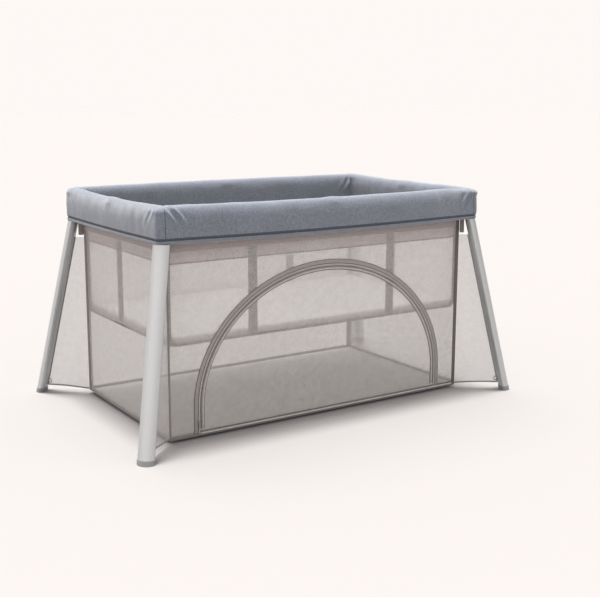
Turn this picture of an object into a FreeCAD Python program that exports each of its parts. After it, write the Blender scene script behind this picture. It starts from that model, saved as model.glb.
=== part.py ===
"""Travel playpen with a bassinet insert: a folding top frame on four splayed legs, a padded rail cover,
mesh walls with a zipped arch door, a folding floor and a hung bassinet with a two-panel mattress.

Origin: bottom centre, on the floor. +X runs to the right along the length, -Y is the front with the
door, +Z is up. Millimetres. One quarter is described at (+u, +v) and mirrored to the four corners."""
import FreeCAD, Part
import math
import os

V = FreeCAD.Vector
O = V(0, 0, 0)

# ---- driving dimensions ----
RAIL_V = 310.0          # distance of the long rails' axes from the centre, along Y
RAIL_U = 535.0          # distance of the short rails' axes from the centre, along X
RAIL_Z = 600.0          # height of the rail axes
PIVOT_LONG = 455.0      # corner pivot of a long rail, from its middle
PIVOT_SHORT = 230.0     # corner pivot of a short rail, from its middle
HINGE_Z = 640.0         # centre pivots sit above the rail axes, so the locked frame is over centre
TUBE_R = 11.0
TUBE_WALL = 1.5
PIN_R = 4.0
HOLE_R = 4.05
PAD_HALF = 20.0         # half thickness of the padded cover
PAD_WALL = 6.0
PAD_LOW, PAD_TOP = 556.0, 658.0
PAD_ROOF = 3.0
LEG_TOP = V(538, 313, 556)
LEG_FOOT = V(636, 395, 0)
LEG_HALF_W, LEG_HALF_T = 24.0, 16.0
LEG_WALL = 1.6
FOOT_H = 14.0
BODY_X, BODY_Y = 514.0, 289.0     # outside of the hung mesh body
SKIN = 1.5
BODY_LOW, BODY_TOP = 12.5, 575.0
DOOR_X, DOOR_HALF = 1.0, 421.0    # arch door: its centre and half width
DOOR_LOW, DOOR_SPRING, DOOR_APEX = 30.0, 85.0, 447.0
BAS_X, BAS_Y, BAS_LOW = 508.0, 282.0, 268.0
MAT_X, MAT_Y, MAT_LOW, MAT_TOP = 500.0, 278.0, 271.0, 295.0
FLOOR_X, FLOOR_Y, FLOOR_LOW, FLOOR_TOP = 512.0, 286.0, 6.0, 12.0

os.makedirs("parts", exist_ok=True)


def box(x0, x1, y0, y1, z0, z1):
    return Part.makeBox(x1 - x0, y1 - y0, z1 - z0, V(x0, y0, z0))


def rod(radius, start, end):
    return Part.makeCylinder(radius, (end - start).Length, start, end - start)


def fuse(*shapes):
    out = shapes[0]
    for s in shapes[1:]:
        out = out.fuse(s)
    return out.removeSplitter()


def moved(shape, vector):
    out = shape.copy()
    out.translate(vector)
    return out


def place(shape, sx, sy):
    """The (+u, +v) shape carried to the corner with signs sx, sy."""
    if sx < 0:
        shape = shape.mirror(O, V(1, 0, 0))
    if sy < 0:
        shape = shape.mirror(O, V(0, 1, 0))
    return shape


def on_long(shape):
    """Rail-local shape (x along the rail from its middle, y across) on the +Y long rail."""
    return moved(shape, V(0, RAIL_V, 0))


def on_short(shape):
    """Rail-local shape on the +X short rail."""
    out = shape.copy()
    out.rotate(O, V(0, 0, 1), 90)
    return moved(out, V(RAIL_U, 0, 0))


def save(name, shape):
    shape.exportStep("parts/" + name + ".step")


def prism(points, y0, y1):
    """Polygon given as (x, z) pairs, extruded across from y0 to y1."""
    ring = [V(x, y0, z) for x, z in points]
    face = Part.Face(Part.makePolygon(ring + ring[:1]))
    return face.extrude(V(0, y1 - y0, 0))


# ---- legs ----
def leg_at(z):
    """Point on the leg's axis at height z."""
    k = (LEG_TOP.z - z) / (LEG_TOP.z - LEG_FOOT.z)
    return LEG_TOP + (LEG_FOOT - LEG_TOP) * k


SPLAY = V(LEG_FOOT.x - LEG_TOP.x, LEG_FOOT.y - LEG_TOP.y, 0)
OUT = V(SPLAY).normalize()                 # outward diagonal of the corner
TURN = math.degrees(math.atan2(-OUT.x, OUT.y))


def lens(half_w, half_t, edge, z0, z1):
    """Leg section, two bowed faces meeting in narrow edges, swept along the leg between two heights."""
    a, b = V(-half_w, -edge, 0), V(half_w, -edge, 0)
    c, d = V(half_w, edge, 0), V(-half_w, edge, 0)
    sides = [Part.Arc(a, V(0, -half_t, 0), b).toShape(), Part.makeLine(b, c),
             Part.Arc(c, V(0, half_t, 0), d).toShape(), Part.makeLine(d, a)]
    face = Part.Face(Part.Wire(sides))
    face.rotate(O, V(0, 0, 1), TURN)
    face.translate(leg_at(z0))
    return face.extrude(leg_at(z1) - leg_at(z0))


inner_w, inner_t = LEG_HALF_W - LEG_WALL, LEG_HALF_T - LEG_WALL
leg = lens(LEG_HALF_W, LEG_HALF_T, 1.5, FOOT_H + 0.2, 555.5).cut(
    lens(inner_w, inner_t, 1.5, FOOT_H - 1, 557))
foot = fuse(lens(LEG_HALF_W + 1, LEG_HALF_T + 1, 1.8, 0, FOOT_H),
            lens(inner_w - 0.4, inner_t - 0.4, 1.2, FOOT_H - 1, FOOT_H + 24))

# ---- corner bracket: block in the cover, clevis ears for both rails, leg spigot, hanging tab ----
PAD_IN_U, PAD_IN_V = RAIL_U - PAD_HALF, RAIL_V - PAD_HALF
block = fuse(box(505, 547, 297, 323, 564, 640), box(521.7, 547.7, 270, 323, 564, 640))
ears = []
for side in (-12.0, 8.0):
    ear = fuse(box(PIVOT_LONG, 506, RAIL_V + side, RAIL_V + side + 4, RAIL_Z - 12, RAIL_Z + 12),
               rod(12, V(PIVOT_LONG, RAIL_V + side, RAIL_Z), V(PIVOT_LONG, RAIL_V + side + 4, RAIL_Z)))
    ears.append(ear)
    ear = fuse(box(RAIL_U + side, RAIL_U + side + 4, PIVOT_SHORT, 271, RAIL_Z - 12, RAIL_Z + 12),
               rod(12, V(RAIL_U + side, PIVOT_SHORT, RAIL_Z), V(RAIL_U + side + 4, PIVOT_SHORT, RAIL_Z)))
    ears.append(ear)
pins = [rod(PIN_R, V(PIVOT_LONG, RAIL_V - 13, RAIL_Z), V(PIVOT_LONG, RAIL_V + 13, RAIL_Z)),
        rod(PIN_R, V(RAIL_U - 13, PIVOT_SHORT, RAIL_Z), V(RAIL_U + 13, PIVOT_SHORT, RAIL_Z))]
tab = box(-9, 9, -31, -17.5, 510, 566)
tab.rotate(O, V(0, 0, 1), TURN)
tab.translate(V(LEG_TOP.x, LEG_TOP.y, 0))
tab = tab.makeFillet(3, [e for e in tab.Edges if e.BoundBox.ZMax < 511])
# above the cover's lower edge the tab stays inside the cover's channel
tab = tab.cut(box(500, PAD_IN_U + PAD_WALL + 0.6, 270, 340, 555.5, 570))
tab = tab.cut(box(500, 560, 270, PAD_IN_V + PAD_WALL + 0.6, 555.5, 570))
bracket = fuse(block, *ears, *pins, lens(inner_w - 0.4, inner_t - 0.4, 1.2, 480, 548),
               lens(14, 8.8, 1.6, 546, 566), tab)


# ---- rails ----
def rail_tube(pivot):
    """Half rail: tube with a flattened end lug drilled for the corner pin."""
    start, end = 47.0, pivot - 17
    tube = rod(TUBE_R, V(start, 0, RAIL_Z), V(end, 0, RAIL_Z))
    tube = tube.cut(rod(TUBE_R - TUBE_WALL, V(start - 1, 0, RAIL_Z), V(end - 22, 0, RAIL_Z)))
    lug = fuse(box(end - 2, pivot, -7.5, 7.5, RAIL_Z - 10, RAIL_Z + 10),
               rod(10, V(pivot, -7.5, RAIL_Z), V(pivot, 7.5, RAIL_Z)))
    half = fuse(tube, lug)
    return half.cut(rod(HOLE_R, V(pivot, -9, RAIL_Z), V(pivot, 9, RAIL_Z)))


EAR_SHAPE = [(42, 632), (3.5, 646.6), (-5.3, 634.7), (12, 617.4), (42, 617.4)]   # tangent to the eye
EYE_R = 7.5
socket = box(12, 75, -12.5, 12.5, 587, 632).cut(rod(TUBE_R + 0.05, V(46.5, 0, RAIL_Z), V(80, 0, RAIL_Z)))
socket = socket.makeFillet(3, [e for e in socket.Edges if e.BoundBox.XLength < 0.1
                               and e.BoundBox.XMin > 74 and e.BoundBox.YLength < 0.1])


def hinge_cheek(y0, y1):
    return fuse(prism(EAR_SHAPE, y0, y1), rod(EYE_R, V(0, y0, HINGE_Z), V(0, y1, HINGE_Z)))


yoke = fuse(socket, hinge_cheek(-12.5, -8.8), hinge_cheek(8.8, 12.5),
            rod(PIN_R, V(0, -12.5, HINGE_Z), V(0, 12.5, HINGE_Z)))
yoke = yoke.cut(box(17.5, 36.5, -7.5, 7.5, 586, 598))
tongue = fuse(socket, hinge_cheek(-8.6, 8.6)).cut(rod(HOLE_R, V(0, -13, HINGE_Z), V(0, 13, HINGE_Z)))
button = box(18, 36, -7, 7, 580, 592)
button = button.makeFillet(2, [e for e in button.Edges if e.BoundBox.ZMax < 581])


# ---- padded cover ----
def pad_half(pivot):
    """Inverted U over half a rail, open underneath."""
    solid = box(1, pivot - 3, -PAD_HALF, PAD_HALF, PAD_LOW, PAD_TOP)
    solid = solid.makeFillet(11, [e for e in solid.Edges if e.BoundBox.ZMin > PAD_TOP - 1
                                  and e.BoundBox.XLength > 10])
    inner = PAD_HALF - PAD_WALL
    return solid.cut(box(0, pivot, -inner, inner, PAD_LOW - 1, PAD_TOP - PAD_ROOF))


def ell(inset, z0, z1, reach):
    """L of the corner cover, inset from the outside of the padding."""
    u1, v1 = RAIL_U + PAD_HALF - inset, RAIL_V + PAD_HALF - inset
    u0, v0 = PAD_IN_U + inset, PAD_IN_V + inset
    return fuse(box(PIVOT_LONG - reach, u1, v0, v1, z0, z1), box(u0, u1, PIVOT_SHORT - reach, v1, z0, z1))


corner_pad = ell(0, PAD_LOW, PAD_TOP, 0)
outer_edge = [e for e in corner_pad.Edges if e.BoundBox.XMin > RAIL_U + PAD_HALF - 1
              and e.BoundBox.YMin > RAIL_V + PAD_HALF - 1]
corner_pad = corner_pad.makeFillet(14, outer_edge)
rim = [e for e in corner_pad.Edges if e.BoundBox.ZMin > PAD_TOP - 1
       and (e.BoundBox.XMin > RAIL_U + PAD_HALF - 1 or e.BoundBox.YMin > RAIL_V + PAD_HALF - 1
            or (e.BoundBox.XLength > 5 and e.BoundBox.YLength > 5))]
corner_pad = corner_pad.makeFillet(8, rim)
corner_pad = corner_pad.cut(ell(PAD_WALL, PAD_LOW - 1, PAD_TOP - PAD_ROOF, 1))

# ---- corner wing: mesh web from the body's corner to the leg ----
root = V(BODY_X + 1.5, BODY_Y + 1.0, 0)
low, high = leg_at(25), leg_at(505)
along = V(low.x - root.x, low.y - root.y, 0)
reach_low = along.Length - LEG_HALF_T - 2.5
along.normalize()
reach_high = V(high.x - root.x, high.y - root.y, 0).Length - LEG_HALF_T - 2.5
across = V(-along.y, along.x, 0)
web = [(1, 25), (reach_low, 25), (reach_high, 505), (1, 505)]
ring = [root + along * r + across * (-SKIN / 2) + V(0, 0, z) for r, z in web]
wing = Part.Face(Part.makePolygon(ring + ring[:1])).extrude(across * SKIN)

# ---- the four corners and four rails ----
NAMES = {(-1, -1): "front_left", (1, -1): "front_right", (-1, 1): "back_left", (1, 1): "back_right"}
for (sx, sy), where in NAMES.items():
    save("corner_bracket_" + where, place(bracket, sx, sy))
    save("leg_" + where, place(leg, sx, sy))
    save("foot_" + where, place(foot, sx, sy))
    save("corner_pad_" + where, place(corner_pad, sx, sy))
    save("wing_" + where, place(wing, sx, sy))

for sy, rail in ((-1, "front"), (1, "back")):
    for sx, half in ((-1, "left"), (1, "right")):
        save(rail + "_rail_tube_" + half, place(on_long(rail_tube(PIVOT_LONG)), sx, sy))
        save(rail + "_rail_pad_" + half, place(on_long(pad_half(PIVOT_LONG)), sx, sy))
    save(rail + "_hinge_yoke", place(on_long(yoke), -1, sy))
    save(rail + "_hinge_tongue", place(on_long(tongue), 1, sy))
    save(rail + "_release_button", place(on_long(button), -1, sy))
for sx, rail in ((-1, "left"), (1, "right")):
    for sy, half in ((-1, "front"), (1, "back")):
        save(rail + "_rail_tube_" + half, place(on_short(rail_tube(PIVOT_SHORT)), sx, sy))
        save(rail + "_rail_pad_" + half, place(on_short(pad_half(PIVOT_SHORT)), sx, sy))
    save(rail + "_hinge_yoke", place(on_short(yoke), sx, -1))
    save(rail + "_hinge_tongue", place(on_short(tongue), sx, 1))
    save(rail + "_release_button", place(on_short(button), sx, -1))


# ---- hung mesh body ----
def arch(grow, z_low, y0, y1):
    """Upright arch, straight up to the springing and elliptical above it."""
    half, rise = DOOR_HALF + grow, DOOR_APEX - DOOR_SPRING + grow
    curve = Part.ArcOfEllipse(Part.Ellipse(V(0, DOOR_SPRING, 0), half, rise), 0, math.pi).toShape()
    corners = [V(-half, DOOR_SPRING, 0), V(-half, z_low, 0), V(half, z_low, 0), V(half, DOOR_SPRING, 0)]
    lines = [Part.makeLine(corners[i], corners[i + 1]) for i in range(3)]
    face = Part.Face(Part.Wire([curve] + lines))
    face.rotate(O, V(1, 0, 0), 90)
    return moved(face.extrude(V(0, y1 - y0, 0)), V(DOOR_X, y0, 0))


front_wall = box(-BODY_X, BODY_X, -BODY_Y, -BODY_Y + SKIN, BODY_LOW, BODY_TOP)
front_wall = front_wall.cut(arch(0.5, DOOR_LOW - 1, -BODY_Y - 1, -BODY_Y + SKIN + 1))
save("wall_front", front_wall)
save("wall_back", box(-BODY_X, BODY_X, BODY_Y - SKIN, BODY_Y, BODY_LOW, BODY_TOP))
side_y = BODY_Y - SKIN - 0.3
save("wall_left", box(-BODY_X, -BODY_X + SKIN, -side_y, side_y, BODY_LOW, BODY_TOP))
save("wall_right", box(BODY_X - SKIN, BODY_X, -side_y, side_y, BODY_LOW, BODY_TOP))
save("door_panel", arch(0, DOOR_LOW, -BODY_Y, -BODY_Y + SKIN))

# zip slider with its pull, on the wall's side of the zip
zip_x = DOOR_X - DOOR_HALF - 0.7
slider = box(zip_x - 8, zip_x, -BODY_Y - 3.6, -BODY_Y - 0.4, 50, 62)
slider = slider.makeFillet(1, slider.Edges)
pull = box(zip_x - 6.5, zip_x - 1.5, -BODY_Y - 4.6, -BODY_Y - 3.2, 33, 57)
save("zip_slider", fuse(slider, pull))

# floor: two stiff panels that fold up about the long walls
for sy, where in ((-1, "front"), (1, "back")):
    panel = box(-FLOOR_X, FLOOR_X, 0.4, FLOOR_Y, FLOOR_LOW, FLOOR_TOP)
    save("floor_" + where, place(panel, 1, sy))

# ---- bassinet and mattress ----
tub = box(-BAS_X, BAS_X, -BAS_Y, BAS_Y, BAS_LOW, BODY_TOP)
tub = tub.cut(box(-BAS_X + SKIN, BAS_X - SKIN, -BAS_Y + SKIN, BAS_Y - SKIN, BAS_LOW + 2, BODY_TOP + 1))
save("bassinet", tub)
for sy, where in ((-1, "front"), (1, "back")):
    panel = box(-MAT_X, MAT_X, 0.5, MAT_Y, MAT_LOW, MAT_TOP)
    panel = panel.makeFillet(5, panel.Edges)
    save("mattress_" + where, place(panel, 1, sy))
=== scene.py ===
"""Travel playpen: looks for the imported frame. Metres, in the frame's own axes."""
import math
import bpy
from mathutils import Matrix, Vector, noise


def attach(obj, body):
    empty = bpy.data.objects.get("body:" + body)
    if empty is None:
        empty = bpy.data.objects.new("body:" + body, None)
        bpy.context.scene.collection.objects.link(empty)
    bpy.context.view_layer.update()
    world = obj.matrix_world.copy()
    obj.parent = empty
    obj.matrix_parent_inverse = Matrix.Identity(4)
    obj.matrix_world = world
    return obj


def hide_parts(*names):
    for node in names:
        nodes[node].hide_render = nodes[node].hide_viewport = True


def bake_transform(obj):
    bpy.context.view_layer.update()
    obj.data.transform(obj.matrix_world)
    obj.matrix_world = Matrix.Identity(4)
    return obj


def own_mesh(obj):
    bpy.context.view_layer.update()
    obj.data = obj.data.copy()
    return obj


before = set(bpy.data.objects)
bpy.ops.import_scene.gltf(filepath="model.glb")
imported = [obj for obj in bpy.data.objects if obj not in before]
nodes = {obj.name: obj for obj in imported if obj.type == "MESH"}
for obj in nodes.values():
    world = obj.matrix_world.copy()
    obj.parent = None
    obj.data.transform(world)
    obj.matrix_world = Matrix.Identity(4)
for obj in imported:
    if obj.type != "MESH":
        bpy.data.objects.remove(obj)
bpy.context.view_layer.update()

CORNERS = {"front_left": (-1, -1), "front_right": (1, -1), "back_left": (-1, 1), "back_right": (1, 1)}

# ---- the frame's sizes, as the solids have them ----
RAIL_U, RAIL_V = 0.535, 0.310            # rail axes
PIVOT_Z, HINGE_UP = 0.600, 0.040         # their height, and how far the middle pivots lie above them
BODY_X, BODY_Y = 0.514, 0.289            # outer faces of the mesh walls
BODY_LOW, BODY_TOP = 0.0125, 0.572
BINDING_Z = BODY_LOW + 0.002             # middle of the bindings along the low edge
DOOR_X, DOOR_HALF = 0.001, 0.421         # middle and half width of the arch door
DOOR_LOW, DOOR_SPRING, DOOR_APEX = 0.030, 0.085, 0.447
BAS_X, BAS_Y, BAS_LOW = 0.5065, 0.2805, 0.269
QUILT_PITCH = 0.10                       # of the mattress's diagonal sewn channels, along X
LEG_TOP, LEG_FOOT = Vector((0.538, 0.313, 0.556)), Vector((0.636, 0.395, 0.0))


# ================= materials =================
class Paint:
    """A node material built up around one Principled shader."""

    def __init__(self, name, base, rough, **sockets):
        self.mat = bpy.data.materials.new(name)
        self.mat.use_nodes = True
        self.tree = self.mat.node_tree
        self.shader = self.tree.nodes["Principled BSDF"]
        self.shader.inputs["Base Color"].default_value = (*base, 1)
        self.shader.inputs["Roughness"].default_value = rough
        for key, value in sockets.items():
            self.shader.inputs[key.replace("_", " ")].default_value = value
        self.coords = self.tree.nodes.new("ShaderNodeTexCoord").outputs["Object"]

    def node(self, kind, **inputs):
        n = self.tree.nodes.new(kind)
        for key, value in inputs.items():
            socket = n.inputs[int(key[1:])] if key[0] == "i" and key[1:].isdigit() else n.inputs[key]
            if isinstance(value, bpy.types.NodeSocket):
                self.tree.links.new(value, socket)
            else:
                socket.default_value = value
        return n

    def math(self, op, a, b=0.0, c=0.0):
        n = self.node("ShaderNodeMath", i0=a, i1=b, i2=c)
        n.operation = op
        return n.outputs[0]

    def stretched(self, scale):
        n = self.node("ShaderNodeMapping", Vector=self.coords, Scale=scale)
        return n.outputs[0]

    def noise(self, scale, detail=2.0, stretch=(1, 1, 1)):
        n = self.node("ShaderNodeTexNoise", Vector=self.stretched(stretch), Scale=scale, Detail=detail)
        return n.outputs["Fac"]

    def axes(self):
        n = self.node("ShaderNodeSeparateXYZ", Vector=self.coords)
        return n.outputs

    def ridges(self, value, pitch):
        """0 on lines a pitch apart and 1 halfway between them."""
        return self.math("ABSOLUTE", self.math("SINE", self.math("MULTIPLY", value, math.pi / pitch)))

    def ramp(self, fac, stops):
        n = self.node("ShaderNodeValToRGB", Fac=fac)
        ramp = n.color_ramp
        while len(ramp.elements) < len(stops):
            ramp.elements.new(0.5)
        for element, (at, colour) in zip(ramp.elements, stops):
            element.position = at
            element.color = (*colour, 1)
        return n.outputs["Color"]

    def colour(self, fac, stops):
        self.tree.links.new(self.ramp(fac, stops), self.shader.inputs["Base Color"])
        return self

    def bump(self, height, distance, strength=1.0):
        n = self.node("ShaderNodeBump", Height=height, Distance=distance, Strength=strength)
        self.tree.links.new(n.outputs[0], self.shader.inputs["Normal"])
        return self

    def weave(self, pitch):
        """Plain weave height, from 0 to 1, on upright and level cloth alike."""
        x, y, z = self.axes()
        k = 2 * math.pi / pitch
        across = self.math("SINE", self.math("MULTIPLY", self.math("ADD", x, y), k))
        slant = self.math("ADD", z, self.math("SUBTRACT", x, y))
        along = self.math("SINE", self.math("MULTIPLY", slant, k))
        return self.math("MULTIPLY_ADD", self.math("MULTIPLY", across, along), 0.5, 0.5)


def shade(base, k):
    return tuple(min(1.0, c * k) for c in base)


def make_cover():
    base = (0.166, 0.184, 0.222)
    p = Paint("cover_melange", base, 0.92, Sheen_Weight=0.54, Sheen_Roughness=0.46, Specular_IOR_Level=0.2)
    upright = p.noise(1.0, 4.0, (520, 520, 130))
    level = p.noise(1.0, 4.0, (140, 140, 640))
    patch = p.noise(9.0, 2.0)
    mix = p.math("MULTIPLY_ADD", upright, 0.55, p.math("MULTIPLY", level, 0.45))
    mix = p.math("MULTIPLY_ADD", patch, 0.16, p.math("SUBTRACT", mix, 0.08))
    p.colour(mix, [(0.30, shade(base, 0.66)), (0.50, base), (0.70, shade(base, 1.42))])
    height = p.math("MULTIPLY_ADD", p.weave(0.0016), 0.5, p.math("MULTIPLY", upright, 0.6))
    return p.bump(height, 0.0006, 0.55).mat


def make_mesh(name, base, low, high, pitch=0.0017, uneven=0.32):
    """Slanted threads with holes between them: low is the opacity in a hole, high on a thread."""
    p = Paint(name, base, 0.85, Specular_IOR_Level=0.15)
    x, y, z = p.axes()
    flat = p.math("ADD", p.math("ABSOLUTE", x), p.math("ABSOLUTE", y))
    rising = p.ridges(p.math("ADD", flat, z), pitch)
    falling = p.ridges(p.math("SUBTRACT", flat, z), pitch)
    thread = p.math("SUBTRACT", 1.0, p.math("MINIMUM", rising, falling))
    grain = p.math("MULTIPLY_ADD", p.noise(420.0, 0.0), uneven, -0.5 * uneven)
    cover = p.math("ADD", p.math("MULTIPLY_ADD", thread, high - low, low), grain)
    p.tree.links.new(cover, p.shader.inputs["Alpha"])
    p.colour(p.noise(60.0, 2.0), [(0.3, shade(base, 0.93)), (0.7, shade(base, 1.07))])
    return p.bump(thread, 0.0004, 0.4).mat


def make_tape(name, base, pitch=0.0012, rough=0.8, alpha=1.0):
    p = Paint(name, base, rough, Sheen_Weight=0.15, Specular_IOR_Level=0.25, Alpha=alpha)
    p.colour(p.noise(300.0, 2.0), [(0.3, shade(base, 0.82)), (0.7, shade(base, 1.15))])
    return p.bump(p.weave(pitch), 0.0004, 0.6).mat


def make_plain_cloth(name, base, pitch=0.0014, quilt=False):
    p = Paint(name, base, 0.9, Sheen_Weight=0.2, Specular_IOR_Level=0.2)
    streak = p.noise(1.0, 3.0, (420, 420, 300))
    broad = p.noise(6.0, 2.0)
    mix = p.math("MULTIPLY_ADD", streak, 0.7, p.math("MULTIPLY", broad, 0.3))
    if quilt:
        # painted shade: the colour is darkened along the sewn channels, as shade in their dips
        x, y, z = p.axes()
        rising = p.ridges(p.math("ADD", x, y), QUILT_PITCH)
        falling = p.ridges(p.math("SUBTRACT", x, y), QUILT_PITCH)
        channel_shade = p.math("MAXIMUM", p.math("SUBTRACT", 0.16, p.math("MINIMUM", rising, falling)), 0.0)
        mix = p.math("SUBTRACT", mix, p.math("MULTIPLY", channel_shade, 2.5))
    p.colour(mix, [(0.08, shade(base, 0.64)), (0.32, shade(base, 0.84)), (0.68, shade(base, 1.14))])
    return p.bump(p.weave(pitch), 0.0004, 0.55).mat


def make_leg():
    base = (0.495, 0.510, 0.520)
    p = Paint("leg_satin", base, 0.40, Metallic=0.80)
    grain = p.noise(1.0, 4.0, (900, 900, 12))
    p.colour(grain, [(0.3, shade(base, 0.94)), (0.7, shade(base, 1.05))])
    rough = p.node("ShaderNodeMapRange", Value=grain)
    rough.inputs["To Min"].default_value, rough.inputs["To Max"].default_value = 0.33, 0.44
    p.tree.links.new(rough.outputs[0], p.shader.inputs["Roughness"])
    return p.bump(grain, 0.0001, 0.25).mat


def make_plastic(name, base, rough=0.5, grain=900.0):
    p = Paint(name, base, rough)
    n = p.noise(grain, 3.0)
    p.colour(p.noise(30.0, 3.0), [(0.3, shade(base, 0.9)), (0.7, shade(base, 1.1))])
    return p.bump(n, 0.0002, 0.35).mat


def make_metal(name, base, rough):
    p = Paint(name, base, rough, Metallic=1.0)
    n = p.noise(260.0, 4.0)
    p.colour(n, [(0.3, shade(base, 0.85)), (0.7, shade(base, 1.1))])
    return p.bump(n, 0.0001, 0.3).mat


COVER = make_cover()
MESH = make_mesh("mesh_wall", (0.565, 0.545, 0.535), 0.31, 0.69)
MESH_IN = make_mesh("mesh_bassinet", (0.80, 0.782, 0.765), 0.24, 0.60, 0.0021)
MESH_WING = make_mesh("mesh_wing", (0.50, 0.494, 0.488), 0.34, 0.72, uneven=0.20)
BAND = make_tape("band_brown", (0.085, 0.072, 0.066))
PINK = make_tape("band_pink", (0.54, 0.450, 0.435), 0.0016, 0.85, 0.80)
STRAP = make_tape("strap_taupe", (0.125, 0.112, 0.103))
BINDING = make_tape("binding_mauve", (0.235, 0.215, 0.207))
# painted shade: a darker copy of the binding's colour, for the right-hand corners
SHADED_BINDING = make_tape("corner_binding", (0.135, 0.122, 0.115))
TOP_BAND = make_tape("wall_top_band", (0.330, 0.290, 0.278), 0.0016)
TAPE = make_tape("zip_tape", (0.310, 0.294, 0.280), 0.0009)
DARK = make_tape("zip_line", (0.120, 0.113, 0.107), 0.0009)
PIPING = make_tape("piping_light", (0.52, 0.50, 0.48), 0.0010, 0.6)
# painted shade: a darker copy of the cover's colour for the faces in the seam grooves
SEAM_GROOVE_SHADE = make_tape("cover_seam_painted_shade", (0.068, 0.078, 0.098), 0.0010)
FLOOR = make_plain_cloth("floor_cloth", (0.55, 0.537, 0.515))
MATTRESS = make_plain_cloth("mattress_cloth", (0.275, 0.266, 0.258), 0.0018, quilt=True)
LEG = make_leg()
FOOT = make_plastic("foot_grey", (0.20, 0.205, 0.215), 0.55)
BRACKET = make_plastic("bracket_brown", (0.135, 0.118, 0.108), 0.5)
HINGE = make_plastic("hinge_black", (0.03, 0.03, 0.033), 0.5)
BUTTON = make_plastic("button_grey", (0.16, 0.16, 0.17), 0.45)
STEEL = make_metal("rail_steel", (0.42, 0.42, 0.43), 0.42)
ZIP = make_metal("zip_metal", (0.42, 0.41, 0.40), 0.34)


# ================= mesh helpers =================
def bell(x, width):
    return math.exp(-(x / width) ** 2)


def clamp(x):
    return max(0.0, min(1.0, x))


def steps(a, b, n):
    return [a + (b - a) * i / n for i in range(n + 1)]


def add_object(name, verts, faces, material, smooth=True):
    me = bpy.data.meshes.new(name)
    me.from_pydata([tuple(v) for v in verts], [], faces)
    me.materials.append(material)
    me.polygons.foreach_set("use_smooth", [smooth] * len(faces))
    me.update()
    ob = bpy.data.objects.new(name, me)
    bpy.context.scene.collection.objects.link(ob)
    return ob


def grid(rows, close=False):
    """Surface through rows of points; close joins each row's end to its start."""
    n, m = len(rows), len(rows[0])
    verts = [p for row in rows for p in row]
    faces = []
    for i in range(n - 1):
        for j in range(m if close else m - 1):
            k = (j + 1) % m
            faces.append((i * m + j, i * m + k, (i + 1) * m + k, (i + 1) * m + j))
    return verts, faces


def join(parts):
    verts, faces = [], []
    for v, f in parts:
        base = len(verts)
        verts += v
        faces += [tuple(i + base for i in face) for face in f]
    return verts, faces


def sweep(path, normal, profile, closed=False):
    """Profile of (across, out) pairs carried along a path that lies in a plane with that normal."""
    rows = []
    n = len(path)
    for i, p in enumerate(path):
        a, b = path[max(i - 1, 0)], path[min(i + 1, n - 1)]
        if closed:
            a, b = path[i - 1], path[(i + 1) % n]
        side = (b - a).normalized().cross(normal)
        rows.append([p + side * w + normal * h for w, h in profile])
    if closed:
        rows.append(rows[0])
    m = len(profile)
    verts, faces = grid(rows, close=True)
    if not closed:
        faces.append(tuple(range(m - 1, -1, -1)))
        last = (n - 1) * m
        faces.append(tuple(last + j for j in range(m)))
    return verts, faces


def flat_profile(w0, w1, h0, h1, ribs=0, depth=0.0):
    """Soft-edged strip section; ribs are lengthwise ridges on its outer face."""
    e = min(0.35 * (h1 - h0), 0.2 * (w1 - w0))
    top = []
    steps = max(2, ribs * 4)
    for i in range(steps + 1):
        t = i / steps
        dip = depth * (0.5 - 0.5 * math.cos(2 * math.pi * ribs * t)) if ribs else 0.0
        top.append((w0 + e + (w1 - w0 - 2 * e) * t, h1 - depth + dip if ribs else h1))
    return [(w1, h0), (w1, h1 - e)] + top[::-1] + [(w0, h1 - e), (w0, h0)]


def round_profile(w, h, r, n=8):
    angles = [2 * math.pi * i / n for i in range(n)]
    return [(w + r * math.cos(a), h + r * math.sin(a)) for a in angles][::-1]


def line(a, b, step=0.012):
    n = max(2, int((b - a).length / step))
    return [a.lerp(b, i / n) for i in range(n + 1)]


def wave(p, amount, scale, seed=0.0):
    at = Vector((p[0] * scale + seed, p[1] * scale - seed, p[2] * scale + 0.5 * seed))
    return amount * noise.noise(at)


def span(a, b, step, r=0.0):
    """Stations from a to b, closer together within r of both ends."""
    inner = max(1, int(round((b - a - 2 * r) / step)))
    mid = [a + r + (b - a - 2 * r) * i / inner for i in range(inner + 1)]
    if r <= 0:
        return mid
    return [a, a + 0.12 * r, a + 0.4 * r] + mid + [b - 0.4 * r, b - 0.12 * r, b]


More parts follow.
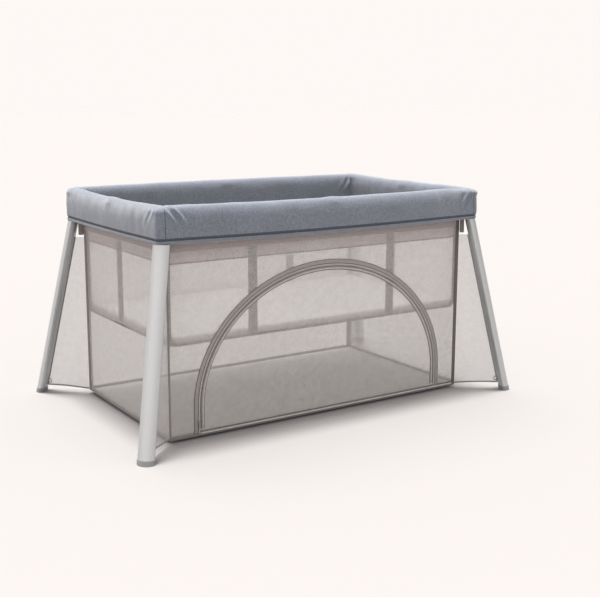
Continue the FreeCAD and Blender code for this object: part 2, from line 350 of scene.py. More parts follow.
def slab(lo, hi, r, step, shape=None):
    """Closed block with rounded edges, as a lattice shell, then moved by shape(point, level)."""
    xs, ys, zs = (span(lo[k], hi[k], step, min(r, 0.49 * (hi[k] - lo[k]))) for k in range(3))
    index, verts, faces = {}, [], []

    def vert(i, j, k):
        if (i, j, k) not in index:
            p = Vector((xs[i], ys[j], zs[k]))
            c = Vector([min(max(p[n], lo[n] + r), hi[n] - r) for n in range(3)])
            d = p - c
            if d.length > 1e-9:
                p = c + d.normalized() * min(r, max(abs(v) for v in d))
            if shape:
                p = p + shape(p, (p.z - lo[2]) / (hi[2] - lo[2]))
            index[(i, j, k)] = len(verts)
            verts.append(p)
        return index[(i, j, k)]

    X, Y, Z = len(xs) - 1, len(ys) - 1, len(zs) - 1
    for i in range(X):
        for j in range(Y):
            faces.append((vert(i, j, 0), vert(i, j + 1, 0), vert(i + 1, j + 1, 0), vert(i + 1, j, 0)))
            faces.append((vert(i, j, Z), vert(i + 1, j, Z), vert(i + 1, j + 1, Z), vert(i, j + 1, Z)))
    for i in range(X):
        for k in range(Z):
            faces.append((vert(i, 0, k), vert(i + 1, 0, k), vert(i + 1, 0, k + 1), vert(i, 0, k + 1)))
            faces.append((vert(i, Y, k), vert(i, Y, k + 1), vert(i + 1, Y, k + 1), vert(i + 1, Y, k)))
    for j in range(Y):
        for k in range(Z):
            faces.append((vert(0, j, k), vert(0, j, k + 1), vert(0, j + 1, k + 1), vert(0, j + 1, k)))
            faces.append((vert(X, j, k), vert(X, j + 1, k), vert(X, j + 1, k + 1), vert(X, j, k + 1)))
    return verts, faces


def finish_piece(ob, body, squash=None, replaces=()):
    """Rides a body, gets a mesh of its own where squash names x or y, and hides the solids it replaces."""
    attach(ob, body)
    if squash == "x":
        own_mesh(ob)
    elif squash == "y":
        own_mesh(ob)
    if replaces:
        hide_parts(*replaces)
    return ob


def piece(name, data, material, body, squash=None, replaces=()):
    return finish_piece(add_object(name, data[0], data[1], material), body, squash, replaces)


# ================= padded rail cover =================
CORNER_R, SMALLEST_R = -0.005, 0.004     # a corner's radius is the first plus the offset, at least the second
SOFT = 0.80                              # the section's top is a little fuller than an ellipse
COVER_LOW, COVER_TALL = 0.556, 0.102


def cover_section():
    """Closed section of the cover as (outward offset, height), from the outer hem over the top."""
    pts = [(0.0170, 0.5575), (0.0192, 0.5558), (0.0206, 0.5580), (0.0209, 0.5615), (0.0203, 0.5645),
           (0.0186, 0.5658), (0.0178, 0.5668), (0.0188, 0.5680), (0.0206, 0.5700)]
    pts += [(0.0211, 0.5722), (0.0216, 0.5790), (0.0220, 0.5880), (0.0222, 0.5960)]
    for i in range(37):
        a = math.pi * i / 36
        c, s = abs(math.cos(a)) ** SOFT, math.sin(a) ** SOFT
        pts.append((0.0222 * c, 0.6030 + 0.0550 * s) if i < 18 else (-0.0208 * c, 0.6120 + 0.0460 * s))
    pts += [(-0.0208 + 0.0010 * t, 0.6060 - 0.038 * t) for t in steps(0, 1, 6)]
    pts += [(-0.0196, 0.5650), (-0.0188, 0.5600), (-0.0180, 0.5575), (-0.0100, 0.5590), (0.0, 0.5595),
            (0.0100, 0.5590)]
    return pts


SECTION = cover_section()
HEM_GROOVE = (4, 5, 6, 7, 8)             # faces of the section in the stitched groove, painted darker as shade
SEAM_ROW = 64                            # strip of the long pieces in the upright seam
SEAM_FACES = range(8, 26)                # faces of the section that the upright seam crosses
SEAM_F = [0.988, 0.992, 0.996, 1.0]      # stations on both sides of that seam


def cover_height(sx, sy, part, u, v, z):
    """Height with the sag: tops dip between the corners, and hems sag between them."""
    up = (z - COVER_LOW) / COVER_TALL
    if part == "short":
        k = 1 - min(1.0, v / 0.285) ** 2
        z -= (0.0068 * k - 0.0018 * bell(v, 0.030)) * up
        z -= 0.0020 * k * max(0.0, 1 - 2 * up)
    elif part == "long":
        k = 1 - min(1.0, u / 0.515) ** 2
        z -= (0.0050 if sy < 0 else -0.0015) * k * up
        z -= (0.0065 if sy < 0 else 0.002) * k * max(0.0, 1 - 2.5 * up)
        if sy < 0:
            z += 0.0030 * up * bell(u, 0.026)
    z -= 0.0032 * up * clamp((-sy * v - 0.05) / 0.25)
    z -= 0.0036 * up ** 3 * bell(math.hypot(RAIL_U + 0.02 - u, RAIL_V + 0.02 - v), 0.035)
    if sx > 0 and sy < 0:
        z -= 0.0052 * up * bell(math.hypot(RAIL_U - u, RAIL_V - v), 0.075)
    return z


def cover_swell(sx, sy, part, p, up, along, start):
    """The padding's swell, with folds that fan out from the corner seam's top, down and away from it."""
    fade = 0.0 if part == "arc" else clamp((along - start) / 0.008)      # none at the seam, so it stays shut
    reach = along - 0.006 - 0.080 * (1 - up)
    near = bell(reach, 0.026) * bell(up - 0.72, 0.26) * fade
    crease = math.sin(reach * 2 * math.pi / 0.030 + 1.5 * noise.noise(p * 16.0) + 1.1 * sx + 0.7 * sy)
    crease = abs(crease) ** 1.4 * (1 if crease > 0 else -0.8)
    depth = 0.0010 if part == "short" else 0.0066 if sx > 0 else 0.0050
    slack = 0.0010 * bell(along - 0.10, 0.07) * fade
    swell = wave(p, 0.0014 if part == "short" else 0.0022, 9.0, 3.1) + wave(p, 0.0009, 26.0, 7.7)
    swell += depth * near * crease + slack * noise.noise(Vector((p.x * 34.0, p.y * 34.0, p.z * 9.0)))
    if part == "long":
        swell -= 0.0034 * bell(along, 0.0036)
    deepest = -0.0004 - 0.006 * (1 - bell(along, 0.040))                 # dents stop above the corner bracket
    return max(swell, deepest)


def cover_room(sx, sy, part, u, v, o, up, along):
    """Extra width at the middle hinges and the corners, so that eyes and brackets stay covered."""
    middle = {"long": u, "short": v}.get(part, 1.0)
    room = 0.0026 * bell(middle, 0.022) * bell(up - 0.88, 0.12)
    room += (0.0084 if sx > 0 and sy < 0 else 0.0046) * bell(along, 0.045) * bell(up - 0.92, 0.12)
    return room * min(1.0, abs(o) / 0.006)


def cover_point(sx, sy, part, f, o, z):
    """Point of the cover in one quarter. part is long, arc or short; f runs from the rail's middle
    to the corner on long, over the corner on arc, and from the corner to the middle on short."""
    r = max(CORNER_R + o, SMALLEST_R)
    cu, cv = RAIL_U + o - r, RAIL_V + o - r
    if part == "long":
        u, v = cu * f, RAIL_V + o
        out, along = Vector((0, sy, 0)), RAIL_U - u
    elif part == "arc":
        a = math.pi / 2 * (1 - f)
        u, v = cu + r * math.cos(a), cv + r * math.sin(a)
        out, along = Vector((sx * math.cos(a), sy * math.sin(a), 0)), r - o
    else:
        u, v = RAIL_U + o, cv * (1 - f)
        out, along = Vector((sx, 0, 0)), RAIL_V - v
    up = (z - COVER_LOW) / COVER_TALL
    p = Vector((sx * u, sy * v, cover_height(sx, sy, part, u, v, z)))
    swell = cover_swell(sx, sy, part, p, up, along, r - o)
    room = cover_room(sx, sy, part, u, v, o, up, along)
    body = clamp((up - 0.14) / 0.12)
    lift = 0.0012 * bell(along - 0.012, 0.012)
    side = 1.0 if o >= 0 else -1.0
    p += out * side * (swell * body + (0.25 * swell if body < 1 else 0) + room)
    p.z += (0.5 * swell + lift) * max(0.0, (up - 0.7) / 0.3)
    return p


def stations(sx, sy, part, shares):
    return [(sx, sy, part, f) for f in shares]


def cover_runs():
    """The ring's pieces: name, body, second body, blend's start and end, stations, solids replaced."""
    runs = []
    for sy, rail in ((-1, "front"), (1, "back")):
        a, b = f"{rail}_rail_left", f"{rail}_rail_right"
        left = stations(-1, sy, "long", steps(0.45, 0, 44))
        right = stations(1, sy, "long", steps(0, 0.45, 44))
        pads = [f"{rail}_rail_pad_left", f"{rail}_rail_pad_right"]
        if rail == "front":
            start, end = (-0.05, -RAIL_V, PIVOT_Z), (0.05, -RAIL_V, PIVOT_Z)
            runs.append(("cover_front_middle", a, b, start, end, left + right[1:], pads))
        else:
            runs.append(("cover_back_middle_left", a, None, None, None, left, pads[:1]))
            runs.append(("cover_back_middle_right", b, None, None, None, right, pads[1:]))
        for sx, half in ((-1, "left"), (1, "right")):
            where = f"{rail}_{half}"
            shares = steps(0.45, 0.88, 42) + steps(0.88, 0.985, 21)[1:] + SEAM_F
            start, end = (sx * 0.492, sy * RAIL_V, PIVOT_Z), (sx * 0.418, sy * RAIL_V, PIVOT_Z)
            runs.append((f"cover_{where}_long", "corner_" + where, f"{rail}_rail_{half}", start, end,
                         stations(sx, sy, "long", shares), ["corner_pad_" + where]))
            shares = steps(0, 0.2, 22)[1:] + steps(0.2, 0.6, 24)[1:]
            start, end = (sx * RAIL_U, sy * 0.266, PIVOT_Z), (sx * RAIL_U, sy * 0.194, PIVOT_Z)
            runs.append((f"cover_{where}_short", "corner_" + where, f"{half}_rail_{rail}", start, end,
                         stations(sx, sy, "arc", steps(0, 1, 10)) + stations(sx, sy, "short", shares), []))
    for sx, rail in ((-1, "left"), (1, "right")):
        along = stations(sx, -1, "short", steps(0.6, 1, 24)) + stations(sx, 1, "short", steps(1, 0.6, 24)[1:])
        start, end = (sx * RAIL_U, -0.045, PIVOT_Z), (sx * RAIL_U, 0.045, PIVOT_Z)
        runs.append((f"cover_{rail}_middle", f"{rail}_rail_front", f"{rail}_rail_back", start, end, along,
                     [f"{rail}_rail_pad_front", f"{rail}_rail_pad_back"]))
    return runs


def is_seam(face, around, name):
    """True for the faces of the groove above the hem and of the upright seam beside each corner, which take a
    darker copy of the cover's colour as painted shade.
    """
    row, k = divmod(face, around)
    return k in HEM_GROOVE or (name.endswith("_long") and row == SEAM_ROW and k in SEAM_FACES)


def cover_mesh(places, capped):
    """One piece's shell, facing out. capped closes its end at the middle of the rail."""
    rows = [[cover_point(*place, o, z) for o, z in SECTION] for place in places]
    verts, faces = grid(rows, close=True)
    n = len(SECTION)
    if capped:
        first = (len(rows) - 1) * n if rows[-1][0].x == 0 else 0
        faces.append(tuple(range(first, first + n))[::-1 if first == 0 else 1])
    a, b, c = faces[n // 2][:3]                         # a face on the crest, which looks up
    if (verts[b] - verts[a]).cross(verts[c] - verts[b]).z < 0:
        faces = [face[::-1] for face in faces]
    return verts, faces


def place_key(p):
    return round(p.x, 5), round(p.y, 5), round(p.z, 5)


def shared_normals(built):
    """Normals by place, gathered over all pieces, so that the cloth runs on smoothly from piece to piece."""
    normal_at = {}
    for verts, faces in built:
        for a, b, c, d in [face for face in faces if len(face) == 4]:
            across = verts[c] - verts[a]
            n = (verts[b] - verts[a]).cross(across) + across.cross(verts[d] - verts[a])
            for i in (a, b, c, d):
                key = place_key(verts[i])
                normal_at[key] = normal_at.get(key, Vector((0, 0, 0))) + n
    return normal_at


def build_cover():
    runs = cover_runs()
    built = [cover_mesh(places, capped=not b) for name, a, b, start, end, places, gone in runs]
    normal_at = shared_normals(built)
    for (name, a, b, start, end, places, gone), (verts, faces) in zip(runs, built):
        ob = add_object(name, verts, faces, COVER)
        # the seam grooves' faces get the painted shade colour
        ob.data.materials.append(SEAM_GROOVE_SHADE)
        slots = [1 if is_seam(i, len(SECTION), name) else 0 for i in range(len(faces))]
        ob.data.polygons.foreach_set("material_index", slots)
        normals = [tuple(normal_at[place_key(v)].normalized()) for v in verts]
        ob.data.normals_split_custom_set_from_vertices(normals)
        if b:
            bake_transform(ob)
        else:
            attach(ob, a)
        if gone:
            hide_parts(*gone)


build_cover()


# ================= mesh walls =================
# each upright side: the axis it runs along, which side of the middle it is on, the body it hangs from
SIDES = {"front": ("x", -1, "corner_front_left"), "back": ("x", 1, "corner_back_left"),
         "left": ("y", -1, "corner_front_left"), "right": ("y", 1, "corner_front_right")}
OUT_FRONT = Vector((0, -1, 0))
FRONT_Y = -BODY_Y + 0.0004
ARCH_MARKS = (0.0, 0.24, 0.76, 1.0)      # shares of the arch that face the wall's low and upper corners
ZIP_LOW = 0.014                          # low end of the zip's outer tape, below the door


def at_side(side, a, depth, z):
    """Point at a along a side, at its depth from the middle."""
    along, sign, _ = SIDES[side]
    return Vector((a, sign * depth, z)) if along == "x" else Vector((sign * depth, a, z))


def outward(side):
    along, sign, _ = SIDES[side]
    return Vector((0, sign, 0)) if along == "x" else Vector((sign, 0, 0))


def side_path(side, half, depth, z):
    """Level line along a side, anticlockwise seen from above."""
    along, sign, _ = SIDES[side]
    start = sign * half if along == "x" else -sign * half
    return line(at_side(side, start, depth, z), at_side(side, -start, depth, z))


def by_axis(side, across_x, across_y):
    """The value for a side that runs along x, or for one along y."""
    return across_x if SIDES[side][0] == "x" else across_y


def ripple(p, amount):
    return wave(p, amount, 6.0, 1.7) + wave(p, 0.35 * amount, 19.0, 4.2)


def arch_point(s, grow=0.0):
    """Point of the zip's line at s from 0, low on the left, over the top to 1, low on the right."""
    half, rise = DOOR_HALF + grow, DOOR_APEX - DOOR_SPRING + grow
    leg = DOOR_SPRING - DOOR_LOW
    arc = math.pi * (half + rise) / 2
    total = 2 * leg + arc
    d = s * total
    if d < leg:
        return Vector((DOOR_X - half, -BODY_Y, DOOR_LOW + d))
    if d > total - leg:
        return Vector((DOOR_X + half, -BODY_Y, DOOR_LOW + total - d))
    a = math.pi * (1 - (d - leg) / arc)
    return Vector((DOOR_X + half * math.cos(a), -BODY_Y, DOOR_SPRING + rise * math.sin(a)))


def frame_point(s):
    """Point of the front wall's outer edge that goes with s on the arch."""
    corners = [(-BODY_X, DOOR_LOW), (-BODY_X, BODY_TOP), (BODY_X, BODY_TOP), (BODY_X, DOOR_LOW)]
    i = 0 if s <= ARCH_MARKS[1] else 1 if s <= ARCH_MARKS[2] else 2
    t = (s - ARCH_MARKS[i]) / (ARCH_MARKS[i + 1] - ARCH_MARKS[i])
    (xa, za), (xb, zb) = corners[i], corners[i + 1]
    return Vector((xa + (xb - xa) * t, -BODY_Y, za + (zb - za) * t))


def build_front():
    """Front wall round the arch, with the strip below the door."""
    rows = []
    for s in sorted({i / 150 for i in range(151)} | set(ARCH_MARKS)):
        inner, outer = arch_point(s, 0.0005), frame_point(s)
        row = []
        for t in steps(0, 1, 14):
            p = inner.lerp(outer, t)
            p.y = FRONT_Y + ripple(p, 0.0016) * math.sin(math.pi * t)
            row.append(p)
        rows.append(row)
    low = [[Vector((x, FRONT_Y, z)) for x in steps(-BODY_X, BODY_X, 60)] for z in (DOOR_LOW, 0.021, BODY_LOW)]
    ob = piece("mesh_front", join([grid(rows), grid(low)]), MESH, "corner_front_left", "x",
               ["wall_front"])


def build_door():
    rows = []
    for i in range(73):
        x = -math.cos(math.pi * i / 72) * DOOR_HALF
        top = DOOR_SPRING + (DOOR_APEX - DOOR_SPRING) * math.sqrt(max(0.0, 1 - (x / DOOR_HALF) ** 2))
        row = []
        for t in steps(0, 1, 24):
            p = Vector((DOOR_X + x, 0, DOOR_LOW + (top - DOOR_LOW) * t))
            p.y = FRONT_Y + ripple(p, 0.002) * math.sin(math.pi * t) * math.sin(math.pi * i / 72)
            row.append(p)
        rows.append(row)
    ob = piece("mesh_door", grid(rows), MESH, "door", "x", ["door_panel"])


def wall(name, side, half, depth, low, top, material, gone=(), amount=0.0018, round_low=0.0):
    """Upright sheet on one side. round_low rounds its lower corners."""
    along, _, body = SIDES[side]
    rows = []
    n, m = int(2 * half / 0.016), int((top - low) / 0.02)
    for i in range(n + 1):
        a = -half + 2 * half * i / n
        edge = half - abs(a)
        start = low
        if edge < round_low:
            start = low + round_low - math.sqrt(max(0.0, round_low ** 2 - (round_low - edge) ** 2))
        row = []
        for t in steps(0, 1, m):
            q = at_side(side, a, depth, start + (top - start) * t)
            d = ripple(q, amount) * math.sin(math.pi * t) * math.sin(math.pi * i / n)
            row.append(q + (Vector((0, d, 0)) if along == "x" else Vector((d, 0, 0))))
        rows.append(row)
    ob = piece(name, grid(rows), material, body, along, gone)


build_front()
build_door()
for side in ("back", "left", "right"):
    wall("mesh_" + side, side, by_axis(side, BODY_X, BODY_Y), by_axis(side, BODY_Y, BODY_X) - 0.0004,
         BODY_LOW, BODY_TOP, MESH, ["wall_" + side])


# ================= zip and low edge =================
def on_front(name, path, profiles, material, body="corner_front_left"):
    """Trim on the front wall's face: the profiles carried along one path, joined."""
    data = join([sweep(path, OUT_FRONT, profile) for profile in profiles])
    return piece(name, data, material, body, "x")


# ribbed outer tape, dark seams, light piping and inner tape; negative first coordinates lie outside the arch
zip_path = [arch_point(s) for s in steps(0, 1, 220)]
first, last = zip_path[0], zip_path[-1]
low_left = [Vector((first.x, first.y, z)) for z in steps(ZIP_LOW, DOOR_LOW, 3)[:-1]]
low_right = [Vector((last.x, last.y, z)) for z in steps(DOOR_LOW, ZIP_LOW, 3)[1:]]
whole = low_left + zip_path + low_right
on_front("zip_outer_tape", whole, [flat_profile(-0.0190, -0.0006, 0.0, 0.0016, 3, 0.0009)], TAPE)
on_front("zip_outer_seams", whole, [round_profile(w, 0.0010, 0.0008) for w in (-0.0187, -0.0068)], DARK)
on_front("zip_outer_piping", whole, [round_profile(-0.0040, 0.0012, 0.0012)], PIPING)
on_front("zip_inner_tape", zip_path, [flat_profile(0.0004, 0.0124, 0.0, 0.0013, 2, 0.0005)], TAPE, "door")
on_front("zip_piping", zip_path, [round_profile(0.0078, 0.0014, 0.0019, 10)], PIPING, "door")
inner_seams = [round_profile(0.0018, 0.0009, 0.0011), round_profile(0.0118, 0.0009, 0.0007)]
on_front("zip_inner_seam", zip_path, inner_seams, DARK, "door")

# low edge of the front: binding, and a light piping with a dark seam from the door's left foot on
foot_line = side_path("front", BODY_X, BODY_Y, BINDING_Z)
on_front("front_low_binding", foot_line, [flat_profile(-0.0030, 0.0075, -0.0004, 0.0008)], BINDING)
door_line = line(Vector((DOOR_X - DOOR_HALF, -BODY_Y, 0.0145)), Vector((BODY_X - 0.012, -BODY_Y, 0.0145)))
on_front("front_low_piping", door_line, [round_profile(0.0, 0.0008, 0.0027, 12)], PIPING)
seam_line = [p + Vector((0, 0, 0.0052)) for p in door_line]
on_front("front_low_seam", seam_line, [round_profile(0.0, 0.0006, 0.0011)], DARK)

# the other sides' low bindings, the bands that join the floor to the walls inside, and the woven
# bands round the top of the walls, just under the rail cover
LOW_STRIP = flat_profile(-0.0035, 0.0035, -0.0004, 0.0012)
FLOOR_STRIP = flat_profile(-0.0046, 0.0046, 0.0, 0.0010)
TOP_STRIP = flat_profile(-0.0120, 0.0120, -0.0002, 0.0005)
for side in ("back", "left", "right"):
    path = side_path(side, by_axis(side, BODY_X, BODY_Y), by_axis(side, BODY_Y, BODY_X), BINDING_Z)
    along, _, body = SIDES[side]
    piece(side + "_low_binding", sweep(path, outward(side), LOW_STRIP), BINDING, body, along)
for side, (along, _, body) in SIDES.items():
    path = side_path(side, by_axis(side, 0.511, 0.286), by_axis(side, 0.2868, 0.5118), 0.0175)
    piece("floor_band_" + side, sweep(path, -outward(side), FLOOR_STRIP), BINDING, body, along)
for side, (along, _, body) in SIDES.items():
    path = side_path(side, by_axis(side, BODY_X, BODY_Y) - 0.004, by_axis(side, BODY_Y, BODY_X), 0.5400)
    piece("wall_band_" + side, sweep(path, outward(side), TOP_STRIP), TOP_BAND, body, along)


# ================= corner bindings and wings =================
def leg_axis(z):
    return LEG_TOP.lerp(LEG_FOOT, (LEG_TOP.z - z) / LEG_TOP.z)


def level_part(v):
    return Vector((v.x, v.y, 0))


WING_ROOT = Vector((BODY_X + 0.0016, BODY_Y + 0.0010, 0))
WING_OUT = level_part(leg_axis(0.025) - WING_ROOT).normalized()
WING_CROSS = Vector((-WING_OUT.y, WING_OUT.x, 0))
WING_TOP = 0.503
LEG_CLEAR = 0.0170                       # the web ends this far from the leg's axis
BINDING_STEPS = 28


def wing_point(sx, sy, t, h):
    """t from the body to the leg, h from the lower to the upper edge, which is drawn up a little."""
    z_low = 0.0150 + 0.008 * t + 0.002 * math.sin(math.pi * t)
    z = z_low + (WING_TOP - z_low) * h
    reach = level_part(leg_axis(z) - WING_ROOT).dot(WING_OUT) - LEG_CLEAR
    p = WING_ROOT + WING_OUT * (reach * t) + Vector((0, 0, z))
    p += WING_CROSS * (ripple(p + Vector((sx, sy, 0)), 0.003) * math.sin(math.pi * t))
    return Vector((sx * p.x, sy * p.y, p.z))


def build_corner_binding(where, sx, sy):
    """Upright binding folded round a corner of the body; the front left seam is only piped."""
    strip = 0.004 if where == "front_left" else 0.012
    u0, v0 = BODY_X - strip, BODY_Y - strip
    prof = [(u0, 0.2892), (u0, 0.2900), (0.5120, 0.2903), (0.5138, 0.2903), (0.5152, 0.2899), (0.5156, 0.2888),
            (0.5155, 0.2870), (0.5153, v0), (0.5143, v0), (0.5143, 0.2885), (0.5135, 0.2892)]
    rows = []
    for k in range(BINDING_STEPS + 1):
        z = BODY_LOW - 0.001 + (0.560 - BODY_LOW) * k / BINDING_STEPS
        rows.append([Vector((sx * u, sy * v, z)) for u, v in prof])
    verts, faces = grid(rows, close=True)
    m = len(prof)
    faces += [tuple(range(m)), tuple(BINDING_STEPS * m + j for j in range(m - 1, -1, -1))]
    if sx * sy < 0:
        faces = [face[::-1] for face in faces]
    # the right-hand corners take the darker copy of the binding, as painted shade
    piece("corner_binding_" + where, (verts, faces), BINDING if sx < 0 else SHADED_BINDING, "corner_" + where)


def build_wing(where, sx, sy):
    """Web between the body's corner and the leg, with a hem below and beside the leg."""
    rows = [[wing_point(sx, sy, t, h) for h in steps(0, 1, 36)] for t in steps(0, 1, 12)]
    web = piece("mesh_wing_" + where, grid(rows), MESH_WING, "corner_" + where, None,
                ["wing_" + where])
    plane = Vector((sx * WING_CROSS.x, sy * WING_CROSS.y, 0))
    low = [wing_point(sx, sy, t, 0.0) for t in steps(0, 1, 14)]
    side = [wing_point(sx, sy, 1.0, h) for h in steps(0, 1, 40)]
    hem = sweep(low, plane, flat_profile(-0.0022, 0.0022, -0.0008, 0.0008))
    edge = sweep(side, plane, flat_profile(-0.0015, 0.0015, -0.0008, 0.0008))
    piece("wing_hem_" + where, join([hem, edge]), BINDING, "corner_" + where)


for where, (sx, sy) in CORNERS.items():
    build_corner_binding(where, sx, sy)
    build_wing(where, sx, sy)


# ================= bassinet =================
BAS_ROUND = 0.025                        # radius of its walls' lower corners
BAS_EDGE = BAS_LOW + 0.006               # middle of its low piping


def on_wall(name, side, path, profile, material):
    """Trim on the outer face of one bassinet wall, along a path of (along, height)."""
    along, _, body = SIDES[side]
    pts = [at_side(side, a, by_axis(side, BAS_Y, BAS_X), z) for a, z in path]
    return piece(name, sweep(pts, outward(side), profile), material, body, along)


def run(a0, z0, a1, z1, step=0.014):
    n = max(2, int(math.hypot(a1 - a0, z1 - z0) / step))
    return [(a0 + (a1 - a0) * i / n, z0 + (z1 - z0) * i / n) for i in range(n + 1)]


def bassinet_bands(side, half):
    """Brown band round the top, the wider pink one below it and the thin line under that."""
    on_wall("bassinet_top_band_" + side, side, run(-half, 0.5385, half, 0.5385),
            flat_profile(-0.0115, 0.0115, -0.0003, 0.0010), BAND)
    on_wall("bassinet_low_top_band_" + side, side, run(-half, 0.511, half, 0.511),
            flat_profile(-0.016, 0.016, -0.0002, 0.0005), PINK)
    on_wall("bassinet_top_line_" + side, side, run(-half, 0.4945, half, 0.4945),
            flat_profile(-0.0018, 0.0018, -0.0003, 0.0010), BAND)


def bassinet_straps(side):
    width = by_axis(side, 0.0145, 0.017)
    for k, a in enumerate(by_axis(side, (-0.244, 0.244), (0.035,))):
        on_wall(f"bassinet_strap_{side}_{k}", side, run(a, BAS_LOW + 0.010, a, 0.530),
                flat_profile(-width, width, 0.0, 0.0018, 4, 0.0003), STRAP)


def bassinet_edges(side, half):
    """Piping along the low edge and round its corners, and the upright bindings above it."""
    r = BAS_ROUND
    bend = [(-half + r - r * math.cos(t), BAS_EDGE + r - r * math.sin(t)) for t in steps(0, math.pi / 2, 6)]
    left = run(-half + 0.0005, 0.55, -half + 0.0005, BAS_LOW + 0.034, 0.03) + bend[1:]
    right = [(-a, z) for a, z in left[::-1]]
    level = run(*left[-1], *right[0])[1:-1]
    on_wall("bassinet_low_edge_" + side, side, left[-7:] + level + right[:7],
            round_profile(0.0, 0.0, by_axis(side, 0.0072, 0.0060), 12), STRAP)
    upright = flat_profile(-0.006, 0.006, -0.0004, 0.0010)
    on_wall("bassinet_upright_left_" + side, side, left[:-3], upright, BAND)
    on_wall("bassinet_upright_right_" + side, side, right[3:], upright, BAND)


for side in SIDES:
    half = by_axis(side, BAS_X, BAS_Y)
    gone = ["bassinet"] if side == "front" else []
    wall("bassinet_" + side, side, half, by_axis(side, BAS_Y, BAS_X), BAS_LOW + 0.004, BODY_TOP - 0.012,
         MESH_IN, gone, 0.0026, BAS_ROUND)
    bassinet_bands(side, half)
    bassinet_straps(side)
    bassinet_edges(side, half)


# ================= mattress and floor =================
def half_panel(sy, half_x, far, gap, z_low, z_top):
    """Corners of a panel that runs from the gap beside the middle out to far."""
    y_low, y_high = (-far, -gap) if sy < 0 else (gap, far)
    return (-half_x, y_low, z_low), (half_x, y_high, z_top)


def quilt(p, level):
    """Crown and sewn channels on the mattress's top."""
    d = Vector((0, 0, 0))
    if level > 0.55:
        cx = abs(math.sin(math.pi * (p.x + p.y) / QUILT_PITCH)) ** 0.5
        cy = abs(math.sin(math.pi * (p.x - p.y) / QUILT_PITCH)) ** 0.5
        d.z = 0.0035 * (min(cx, cy) - 0.6) * (level - 0.55) / 0.45 + wave(p, 0.0008, 12.0)
    return d


def floor_swell(p, level):
    return Vector((0, 0, (wave(p, 0.0010, 5.0) - 0.0004) * level * min(1.0, abs(p.y) / 0.03)))


for sy, end in ((-1, "front"), (1, "back")):
    lo, hi = half_panel(sy, 0.499, 0.2775, 0.0006, 0.2725, 0.2945)
    pad = piece("mattress_pad_" + end, slab(lo, hi, 0.007, 0.0095, quilt), MATTRESS, "mattress_" + end,
                "x", ["mattress_" + end])
    lo, hi = half_panel(sy, 0.503, 0.2795, 0.0006, 0.2680, 0.2720)
    piece("bassinet_base_" + end, slab(lo, hi, 0.0015, 0.02), FLOOR, "mattress_" + end, "x")
    lo, hi = half_panel(sy, 0.5112, 0.2858, 0.0003, 0.0062, 0.0120)
    panel = piece("floor_panel_" + end, slab(lo, hi, 0.0022, 0.014, floor_swell), FLOOR, "floor_" + end,
                  "x", ["floor_" + end])


# ================= zip slider =================
def build_slider():
    """Slider with its hanging pull, on the wall's side of the zip."""
    x, y = DOOR_X - DOOR_HALF - 0.0047, -BODY_Y - 0.0012
    block = slab((x - 0.0035, y - 0.0026, 0.050), (x + 0.0035, y + 0.0008, 0.062), 0.0012, 0.002)
    rise = [(0.0026 + 0.0016 * math.sin(math.pi * t), 0.0525 + 0.007 * t) for t in steps(0, 1, 6)]
    loop = [Vector((x, y - d, z)) for d, z in rise]
    bridge = sweep(loop, Vector((1, 0, 0)), flat_profile(-0.0004, 0.0004, -0.0009, 0.0009))
    ring = [(-0.0012, 0.0555), (-0.0022, 0.050), (-0.0024, 0.040), (-0.0022, 0.0345), (0.0, 0.0332),
            (0.0022, 0.0345), (0.0024, 0.040), (0.0022, 0.050), (0.0012, 0.0555), (0.0, 0.0562)]
    pull = sweep([Vector((x + w, y - 0.0034, z)) for w, z in ring], OUT_FRONT, round_profile(0, 0, 0.00065, 6),
                 closed=True)
    plate = slab((x - 0.0016, y - 0.0039, 0.0352), (x + 0.0016, y - 0.0030, 0.0485), 0.0004, 0.0015)
    data = join([block, bridge, pull, plate])
    piece("zip_slider_metal", data, ZIP, "slider", "x", ["zip_slider"])


build_slider()

# ================= rigid parts of the frame =================
LOOKS = {"corner_bracket": BRACKET, "leg_": LEG, "foot_": FOOT, "rail_tube": STEEL, "hinge": HINGE,
         "button": BUTTON}
for name, ob in nodes.items():
    for word, material in LOOKS.items():
        if word in name and ob.type == "MESH":
            if not ob.material_slots:
                ob.data.materials.append(material)
            for slot in ob.material_slots:
                slot.material = material


def build_hook(where, sx, sy):
    """Wire hook that holds a wing's lower corner to the leg."""
    axis = leg_axis(0.036)
    inward = Vector((BODY_X - axis.x, BODY_Y - axis.y, 0)).normalized()
    start = axis + inward * 0.0150
    bends = ((0, 0.006), (0.004, 0.0065), (0.009, 0.003), (0.011, -0.002), (0.009, -0.006), (0.005, -0.0065),
             (0.0, -0.006))
    pts = [start + inward * d + Vector((0, 0, h)) for d, h in bends]
    pts = [Vector((sx * p.x, sy * p.y, p.z)) for p in pts]
    side = Vector((-sx * inward.y, sy * inward.x, 0)).normalized()
    piece("wing_hook_" + where, sweep(pts, side, round_profile(0, 0, 0.0013, 8)), HINGE, "corner_" + where)


for where, (sx, sy) in CORNERS.items():
    build_hook(where, sx, sy)


# ================= studio =================
SKY = (0.982, 0.939, 0.913)                      # pale warm white of the studio
# each sun's strength, the direction towards it and its spread in degrees
SUNS = ((5.8, (0.00, 0.08, 0.99), 12.0), (1.2, (0.00, 0.40, 0.90), 40.0))
REFLECTED_TILT = 0.45                            # reflections are lighter on the left, darker on the right
FLOOR_SHARE = 0.300                              # how much of the floor's brightness is lit and can be shaded

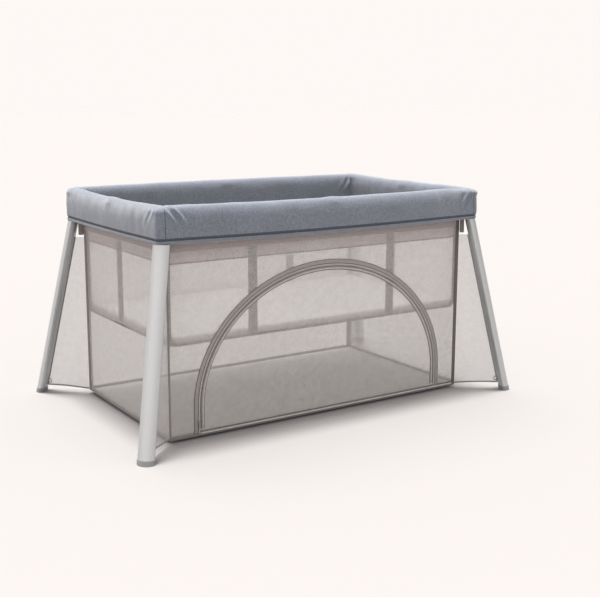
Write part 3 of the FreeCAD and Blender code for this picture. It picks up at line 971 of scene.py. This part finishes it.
bpy.context.scene.view_settings.view_transform = "Standard"
world = bpy.data.worlds.new("studio")
world.use_nodes = True
tree = world.node_tree
background = tree.nodes["Background"]
background.inputs["Color"].default_value = (*SKY, 1)
towards = tree.nodes.new("ShaderNodeTexCoord").outputs["Generated"]
tilt = tree.nodes.new("ShaderNodeVectorMath")
tilt.operation = "DOT_PRODUCT"
tilt.inputs[1].default_value = (-0.954, -0.30, 0.0)
tree.links.new(towards, tilt.inputs[0])
level = tree.nodes.new("ShaderNodeMath")
level.operation = "MULTIPLY_ADD"
level.inputs[1].default_value, level.inputs[2].default_value = REFLECTED_TILT, 1.0
tree.links.new(tilt.outputs["Value"], level.inputs[0])
glossy = tree.nodes.new("ShaderNodeMix")
glossy.inputs["A"].default_value = 1.0
tree.links.new(tree.nodes.new("ShaderNodeLightPath").outputs["Is Glossy Ray"], glossy.inputs["Factor"])
tree.links.new(level.outputs[0], glossy.inputs["B"])
tree.links.new(glossy.outputs["Result"], background.inputs["Strength"])
bpy.context.scene.world = world
sun_on_floor = 0.0
for k, (strength, direction, spread) in enumerate(SUNS):
    light = bpy.data.lights.new(f"sun_{k}", "SUN")
    light.energy, light.angle = strength, math.radians(spread)
    ob = bpy.data.objects.new(f"sun_{k}", light)
    ob.rotation_euler = Vector(direction).to_track_quat("Z", "Y").to_euler()
    bpy.context.scene.collection.objects.link(ob)
    sun_on_floor += strength * Vector(direction).normalized().z / math.pi

mat = bpy.data.materials.new("studio_floor")
mat.use_nodes = True
shader = mat.node_tree.nodes["Principled BSDF"]
shader.inputs["Roughness"].default_value = 1.0
shader.inputs["Specular IOR Level"].default_value = 0.0
floor_base = [FLOOR_SHARE * c / SKY[1] for c in SKY]
shader.inputs["Base Color"].default_value = (*floor_base, 1)
floor_glow = [c - b * (c + sun_on_floor) for c, b in zip(SKY, floor_base)]
shader.inputs["Emission Color"].default_value = (*floor_glow, 1)
shader.inputs["Emission Strength"].default_value = 1.0
FLOOR_HALF = 60
corners = [Vector((x * FLOOR_HALF, y * FLOOR_HALF, 0)) for x, y in ((-1, -1), (1, -1), (1, 1), (-1, 1))]
studio = add_object("studio_floor", corners, [(0, 1, 2, 3)], mat, smooth=False)

AZ, EL, DIST, AIM = math.radians(-32.7), math.radians(10.5), 3.168, Vector((0.034, -0.0175, 0.349))
back = Vector((math.sin(AZ) * math.cos(EL), -math.cos(AZ) * math.cos(EL), math.sin(EL)))
cam = bpy.data.cameras.new("camera")
cam.lens, cam.sensor_width = 59.75, 36.0
cam.shift_x, cam.shift_y = 0.0242, -0.025
eye = bpy.data.objects.new("camera", cam)
eye.location = AIM + back * DIST
eye.rotation_euler = (-back).to_track_quat("-Z", "Y").to_euler()
bpy.context.scene.collection.objects.link(eye)
bpy.context.scene.camera = eye
